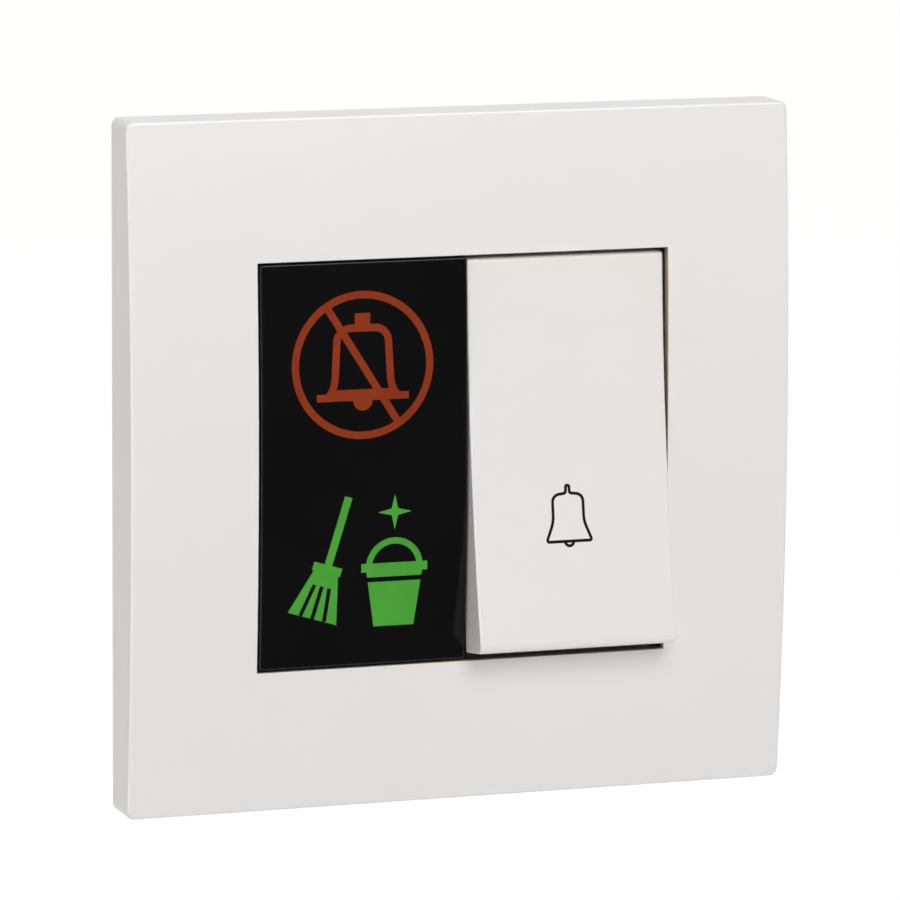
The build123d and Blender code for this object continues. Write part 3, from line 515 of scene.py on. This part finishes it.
# Light box and diffusers: a reflector moulded in bright white ABS with a matt face, under two sheets of
# opal acrylic that spread the light of the lamps. The sheets look milky and let some light through.
reflector_abs = plastic(
    "reflector_white_abs", ("#F2F2EF", "#EEEEEA"), roughness=0.6, ior=1.53, grain=0.4, relief=0.006,
)
opal_acrylic = plastic(
    "opal_acrylic", ("#F0EFEA", "#ECEBE6"), roughness=0.5, ior=1.49, grain=0.6, relief=0.002,
    sockets={"Transmission Weight": 0.35},
)
dress(reflector_abs, "light_box")
dress(opal_acrylic, "do_not_disturb_diffuser", "make_up_room_diffuser")


# Lamps: round light-emitting diodes cast in tinted clear epoxy, with two leads each through the board.
# The epoxy is glossy and deep in colour, and lets light through.
red_epoxy = plastic(
    "red_lamp_epoxy", ("#C5211A", "#B51B15"), roughness=0.09, ior=1.55, grain=1.2, relief=0.001, patch=3.0,
    sockets={"Transmission Weight": 0.6},
)
green_epoxy = plastic(
    "green_lamp_epoxy", ("#3FAE35", "#379E2E"), roughness=0.09, ior=1.55, grain=1.2, relief=0.001, patch=3.0,
    sockets={"Transmission Weight": 0.6},
)
dress(red_epoxy, "do_not_disturb_lamp")
dress(green_epoxy, "make_up_room_lamp")


# Circuit board: glass-epoxy laminate under green solder mask, lying on two ledges of the housing. Broad
# tracks show through the mask as lighter bands with soft edges, and the cloth leaves it finely uneven.
track_pitch = 16.336
weave_width = 0.5
weave_share = 0.2
track_relief = 0.035
# A wave node of scale one repeats this many times in two pi
wave_rate = 20
board_mask = bpy.data.materials.new("green_solder_mask")
board_mask.use_nodes = True
tree = board_mask.node_tree
tree.nodes.clear()
board_place = add_node(tree, "ShaderNodeTexCoord").outputs["Object"]
tracks = add_node(tree, "ShaderNodeTexWave", {
    "Vector": board_place,
    "Scale": 2 * math.pi * 1000 / track_pitch / wave_rate,
    "Distortion": 2.0,
}, bands_direction="Z")
track_edge = add_node(tree, "ShaderNodeMapRange", {
    "Value": tracks.outputs["Fac"],
    "From Min": 0.45,
    "From Max": 0.6,
})
weave = add_node(tree, "ShaderNodeTexNoise", {
    "Vector": board_place,
    "Scale": 1000 / weave_width,
    "Detail": 2.0,
})
mask_colour = add_node(tree, "ShaderNodeMix", {
    "Factor": track_edge.outputs["Result"],
    mix_first: linear("#1C5430"),
    mix_second: linear("#2C7A48"),
}, data_type="RGBA")
track_height = add_node(tree, "ShaderNodeMath", {
    0: weave.outputs["Fac"],
    1: weave_share,
    2: track_edge.outputs["Result"],
}, operation="MULTIPLY_ADD")
mask_bump = add_node(tree, "ShaderNodeBump", {
    "Height": track_height.outputs["Value"],
    "Distance": track_relief / 1000,
})
mask_face = add_node(tree, "ShaderNodeBsdfPrincipled", {
    "Base Color": mask_colour.outputs[mix_result],
    "Roughness": 0.28,
    "IOR": 1.55,
    "Normal": mask_bump.outputs["Normal"],
})
add_node(tree, "ShaderNodeOutputMaterial", {"Surface": mask_face.outputs["BSDF"]})
dress(board_mask, "indicator_circuit_board")


# Resistors, diodes and capacitor: two dropper resistors in tan lacquer with value rings, two diodes in
# black epoxy with a silver ring at the cathode, and a film capacitor dipped in red epoxy.
def banded(name, centre, stops, roughness):
    """A round part along X: each stop gives the distance in millimetres from the centre at which a ring of
    colour begins. Beyond the body the tinned lead shows as metal."""
    reach = -stops[0][0]
    body_end = -stops[1][0]
    ripple_width = 0.8
    ripple_height = 0.02
    material = bpy.data.materials.new(name)
    material.use_nodes = True
    tree = material.node_tree
    tree.nodes.clear()
    place = add_node(tree, "ShaderNodeTexCoord").outputs["Object"]
    along = add_node(tree, "ShaderNodeSeparateXYZ", {"Vector": place})
    share = add_node(tree, "ShaderNodeMapRange", {
        "Value": along.outputs["X"],
        "From Min": (centre - reach) / 1000,
        "From Max": (centre + reach) / 1000,
    })
    rings = add_node(tree, "ShaderNodeValToRGB", {"Fac": share.outputs["Result"]})
    rings.color_ramp.interpolation = "CONSTANT"
    while len(rings.color_ramp.elements) < len(stops):
        rings.color_ramp.elements.new(0.5)
    for element, (start, colour) in zip(rings.color_ramp.elements, stops):
        element.position = 0.5 + start / reach / 2
        element.color = linear(colour)
    off_centre = add_node(tree, "ShaderNodeMath", {
        0: along.outputs["X"],
        1: centre / 1000,
    }, operation="SUBTRACT")
    off = add_node(tree, "ShaderNodeMath", {0: off_centre.outputs["Value"]}, operation="ABSOLUTE")
    lead = add_node(tree, "ShaderNodeMath", {
        0: off.outputs["Value"],
        1: body_end / 1000,
    }, operation="GREATER_THAN")
    ripple = add_node(tree, "ShaderNodeTexNoise", {
        "Vector": place,
        "Scale": 1000 / ripple_width,
        "Detail": 2.0,
    })
    bump = add_node(tree, "ShaderNodeBump", {
        "Height": ripple.outputs["Fac"],
        "Distance": ripple_height / 1000,
    })
    shader = add_node(tree, "ShaderNodeBsdfPrincipled", {
        "Base Color": rings.outputs["Color"],
        "Metallic": lead.outputs["Value"],
        "Roughness": roughness,
        "Normal": bump.outputs["Normal"],
    })
    add_node(tree, "ShaderNodeOutputMaterial", {"Surface": shader.outputs["BSDF"]})
    return material


tin = "#C9CACB"
tan = "#C7A877"
black = "#17171A"
resistor_lacquer = banded("tan_resistor_lacquer", centre=-17.27, roughness=0.35, stops=[
    (-5.0, tin),
    (-3.15, tan),
    (-2.3, "#C77F1E"),
    (-1.8, tan),
    (-1.1, "#7A4A22"),
    (-0.6, tan),
    (0.1, "#B8332A"),
    (0.6, tan),
    (1.9, "#B89A3A"),
    (2.4, tan),
    (3.15, tin),
])
diode_epoxy = banded("black_diode_epoxy", centre=-7.27, roughness=0.38, stops=[
    (-5.0, tin),
    (-2.6, black),
    (1.3, "#B9BBBD"),
    (1.9, black),
    (2.6, tin),
])
capacitor_epoxy = plastic(
    "red_capacitor_epoxy", ("#9E2A1E", "#8E2419"), roughness=0.3, ior=1.55, grain=1.6, relief=0.03, patch=4.0,
)
dress(resistor_lacquer, "dropper_resistors")
dress(diode_epoxy, "rectifier_diodes")
dress(capacitor_epoxy, "film_capacitor")


# Module housings: two bodies of dark grey polycarbonate that snap into the support frame from the front.
# The mould is finely blasted, so they are matt, and the gaps round the rocker look black over them.
housing_plastic = plastic(
    "matt_grey_polycarbonate", ("#2F3032", "#292A2C"), roughness=0.5, ior=1.585, grain=0.35, relief=0.012,
)
dress(housing_plastic, "indicator_housing", "push_housing")


# Support frame: grey nylon filled with short glass fibre, screwed to the wall box and holding all the rest.
# The fibres give it a fine pale mottle and a slightly rough skin.
frame_nylon = plastic(
    "glass_filled_nylon", ("#A3A6A8", "#94979A"), roughness=0.5, ior=1.53, grain=0.25, relief=0.016,
    patch=1.8,
)
dress(frame_nylon, "support_frame")


# Fixing screws: two M3.5 pan-head screws in zinc-plated steel with a cross recess, a thin neck that keeps
# them captive in the frame, and a rolled thread with a pitch of 0.6 mm.
def metal(name, colours, roughness, grain, relief, patch=2.0):
    """Worked metal. The colour drifts between two near ones, and the marks of the tool are a noise whose
    width along X, Y and Z is given in millimetres, with a height in millimetres. The roughness drifts with
    the marks by a fifth each way."""
    gloss_drift = 0.2
    material = bpy.data.materials.new(name)
    material.use_nodes = True
    tree = material.node_tree
    tree.nodes.clear()
    place = add_node(tree, "ShaderNodeTexCoord").outputs["Object"]
    colour = mottled(tree, place, patch, *colours)[1]
    stretched = add_node(tree, "ShaderNodeMapping", {
        "Vector": place,
        "Scale": [1000 / size for size in grain],
    })
    marks = add_node(tree, "ShaderNodeTexNoise", {
        "Vector": stretched.outputs["Vector"],
        "Scale": 1.0,
        "Detail": 2.0,
    })
    bump = add_node(tree, "ShaderNodeBump", {"Height": marks.outputs["Fac"], "Distance": relief / 1000})
    gloss = add_node(tree, "ShaderNodeMapRange", {
        "Value": marks.outputs["Fac"],
        "From Min": 0.3,
        "From Max": 0.7,
        "To Min": roughness * (1 - gloss_drift),
        "To Max": roughness * (1 + gloss_drift),
    })
    shader = add_node(tree, "ShaderNodeBsdfPrincipled", {
        "Base Color": colour,
        "Metallic": 1.0,
        "Roughness": gloss.outputs["Result"],
        "Normal": bump.outputs["Normal"],
    })
    add_node(tree, "ShaderNodeOutputMaterial", {"Surface": shader.outputs["BSDF"]})
    return material


def ramp(value, start, end):
    """Nought before the start and one after the end, with a smooth rise of 3 t squared less 2 t cubed."""
    share = np.clip((value - start) / (end - start), 0, 1)
    return share**2 * (3 - 2 * share)


# In millimetres: X of the screws, and their heads, recesses, necks and threads by Y and by radius
screw_x = 30.15
head_front = -3.7
head_back = -1.7
head_radius = 3.2
head_edge = 0.6
head_crown = 0.16
head_chamfer = 0.1
recess_half_length = 1.8
recess_half_width = 0.45
recess_floor = -2.5
recess_floor_share = 0.6
recess_rim_share = 0.94
recess_rim_depths = (0.12, 0.04)
neck_radius = 1.4
neck_end = -0.05
thread_radius = 1.75
thread_depth = 0.36
thread_pitch = 0.6
thread_flank = 1.25
thread_root = 0.12
thread_runout = 0.9
thread_end = 22.3
tip_radius = 1.2
tip_length = 0.6
tip_chamfer = 0.05


def fixing_screw(x):
    """A screw along Y as rings from the floor of its recess to its tip. In the recess the ring is the cross:
    of the two bars, the one that reaches further at that angle. On the thread the radius rises and falls
    with the distance along Y less the pitch times the angle's share of a turn."""
    corner = math.atan2(recess_half_width, recess_half_length)
    quarter = np.array([0, corner, math.pi / 4, math.pi / 2 - corner])
    angle = np.linspace(0, 2 * math.pi, 64, endpoint=False)
    angle = np.concatenate([angle, *[quarter + i * math.pi / 2 for i in range(4)]])
    angle = np.unique(angle.round(6))
    near = np.abs(np.cos(angle)) + 1e-6
    far = np.abs(np.sin(angle)) + 1e-6
    upright = np.minimum(recess_half_length / near, recess_half_width / far)
    level_bar = np.minimum(recess_half_width / near, recess_half_length / far)
    cross = np.maximum(upright, level_bar)
    flat = head_radius - head_edge
    rings = [
        (cross * recess_floor_share, recess_floor),
        (cross * recess_rim_share, head_front + recess_rim_depths[0]),
        (cross, head_front + recess_rim_depths[1]),
    ]
    for share in np.linspace(0.12, 1, 6):
        radius = cross + (flat - cross) * share
        rings.append((radius, head_front + head_crown * (radius / flat) ** 2))
    for turn in np.linspace(0, math.pi / 2, 6)[1:]:
        height = head_front + head_crown + (head_edge - head_crown) * (1 - math.cos(turn))
        rings.append((flat + head_edge * math.sin(turn), height))
    rings += [
        (head_radius, head_back - head_chamfer),
        (head_radius - head_chamfer, head_back),
        (neck_radius, head_back),
        (neck_radius, neck_end),
        (neck_radius, 0.0),
    ]
    radii = np.array([np.broadcast_to(radius, angle.shape) for radius, place in rings])
    places = np.array([np.broadcast_to(place, angle.shape) for radius, place in rings])
    step = thread_pitch / 8
    along = np.arange(step, thread_end, step)[:, None]
    phase = (along / thread_pitch - angle / (2 * math.pi)) % 1
    flank = np.clip(np.abs(2 * phase - 1) * thread_flank - thread_root, 0, 1)
    thread = thread_radius - thread_depth + thread_depth * flank * ramp(along, 0.0, thread_runout)
    tip_share = (along - thread_end + tip_length) / tip_length
    thread = np.minimum(thread, thread_radius - (thread_radius - tip_radius) * tip_share)
    radii = np.vstack([radii, thread, np.full((1, len(angle)), tip_radius - tip_chamfer)])
    places = np.vstack([places, np.broadcast_to(along, thread.shape), np.full((1, len(angle)), thread_end)])
    points = np.stack([x + radii * np.sin(angle), places, radii * np.cos(angle)], axis=-1)
    return skin(points / 1000)


# Bright zinc: a cool grey metal with a faint blue cast, satin rather than mirror-like
zinc_plate = metal(
    "zinc_plated_steel", ("#B9BDC2", "#A9ADB3"), roughness=0.3, grain=(0.5, 0.5, 0.5), relief=0.004,
)
fixing_screws = solid(
    "fixing_screws_threaded", [fixing_screw(-screw_x), fixing_screw(screw_x)], zinc_plate, crease=40,
)
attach(fixing_screws, "base")
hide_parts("fixing_screws")


# Clamp screws: slotted cheese-head screws that hold the wires, plated like the fixing screws but turned,
# so fine rings run round them.
turned_zinc = metal(
    "turned_zinc_plated_steel", ("#B4B8BD", "#A3A7AD"), roughness=0.32, grain=(0.8, 0.12, 0.8), relief=0.004,
)
dress(turned_zinc, "indicator_terminal_screws", "push_terminal_screws")


# Terminals and pins: brass blocks sawn from drawn bar, with a drilled wire bore, and square brass pins.
# The drawn faces carry fine lines along the bar and a dull golden shine.
drawn_brass = metal(
    "drawn_brass", ("#C9A35C", "#B8924E"), roughness=0.34, grain=(2.5, 0.15, 0.15), relief=0.005, patch=3.0,
)
dress(drawn_brass, "indicator_terminals", "push_terminals", "terminal_pins")


# Contacts: springy strips stamped from rolled brass, carrying riveted tips of silver alloy. The strip is
# brighter than the terminals, and the tips are pale and soft in their shine.
rolled_brass = metal(
    "rolled_brass_strip", ("#D4AE66", "#C7A05A"), roughness=0.26, grain=(3.0, 0.3, 0.2), relief=0.003,
    patch=3.0,
)
silver_alloy = metal(
    "silver_contact_alloy", ("#DDDCD8", "#CFCECA"), roughness=0.24, grain=(0.4, 0.4, 0.4), relief=0.003,
)
dress(rolled_brass, "fixed_contacts", "bridge_contact")
dress(silver_alloy, "fixed_contact_tips", "bridge_contact_tips")


# Plunger: moulded acetal, slippery, with a waxy sheen. It rides in the guide of the push housing and
# carries the bridge contact.
acetal = plastic(
    "white_acetal", ("#E6E3D8", "#E0DDD1"), roughness=0.3, ior=1.48, grain=0.5, relief=0.003, patch=5.0,
)
dress(acetal, "push_plunger")


# Return spring: coiled from drawn spring steel, with its end turns closed so that it stands square on the
# floor of the housing.
spring_x = 12.73
spring_z = -12.0
spring_front_y = 3.86
spring_back_y = 10.0
wire_radius = 0.25
coil_radius = 2.76
coil_turns = 7.0
closed_turns = 1.1
closed_blend = 0.4
closed_rise = 2.02 * wire_radius


def coil_skin():
    """A round wire along a helix. The rise for each step is one wire near both ends and wider between them,
    and the rises are added up and scaled to the spring's length."""
    turn = np.linspace(0, coil_turns, int(coil_turns * 40) + 1)
    blend = (closed_turns - closed_blend, closed_turns + closed_blend)
    open_share = ramp(turn, *blend) * ramp(coil_turns - turn, *blend)
    length = spring_back_y - spring_front_y - 2 * wire_radius
    step = turn[1]
    open_rise = (length - closed_rise * coil_turns) / (open_share[1:].sum() * step)
    rise = np.concatenate([[0], np.cumsum((closed_rise + open_rise * open_share[1:]) * step)])
    spin = 2 * math.pi * turn
    path = np.stack([
        spring_x + coil_radius * np.sin(spin),
        spring_front_y + wire_radius + rise,
        spring_z + coil_radius * np.cos(spin),
    ], axis=1)
    way = np.gradient(path, axis=0)
    way /= np.linalg.norm(way, axis=1, keepdims=True)
    outward = np.stack([np.sin(spin), np.zeros_like(spin), np.cos(spin)], axis=1)
    upward = np.cross(way, outward)
    around = np.linspace(0, 2 * math.pi, 14, endpoint=False)[None, :, None]
    section = np.cos(around) * outward[:, None] + np.sin(around) * upward[:, None]
    return skin((path[:, None] + wire_radius * section) / 1000)


# Drawn spring steel: a clean, cool shine, faintly marked by the drawing
drawn_steel = metal(
    "drawn_spring_steel", ("#B5B7BA", "#A6A8AC"), roughness=0.22, grain=(0.3, 0.3, 0.3), relief=0.002,
)
return_spring = solid("return_spring_coil", [coil_skin()], drawn_steel)
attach(return_spring, "base")
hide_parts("return_spring")
# Fully pressed, the spring keeps 0.732 of its length
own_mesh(return_spring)


# Pivot pin: a length of ground steel bar with chamfered ends, pressed into the push housing. Grinding
# leaves it smooth and bright, with faint rings.
ground_steel = metal(
    "ground_steel_bar", ("#BDBFC2", "#B0B2B5"), roughness=0.16, grain=(0.1, 0.8, 0.8), relief=0.002,
)
dress(ground_steel, "rocker_pivot_pin")
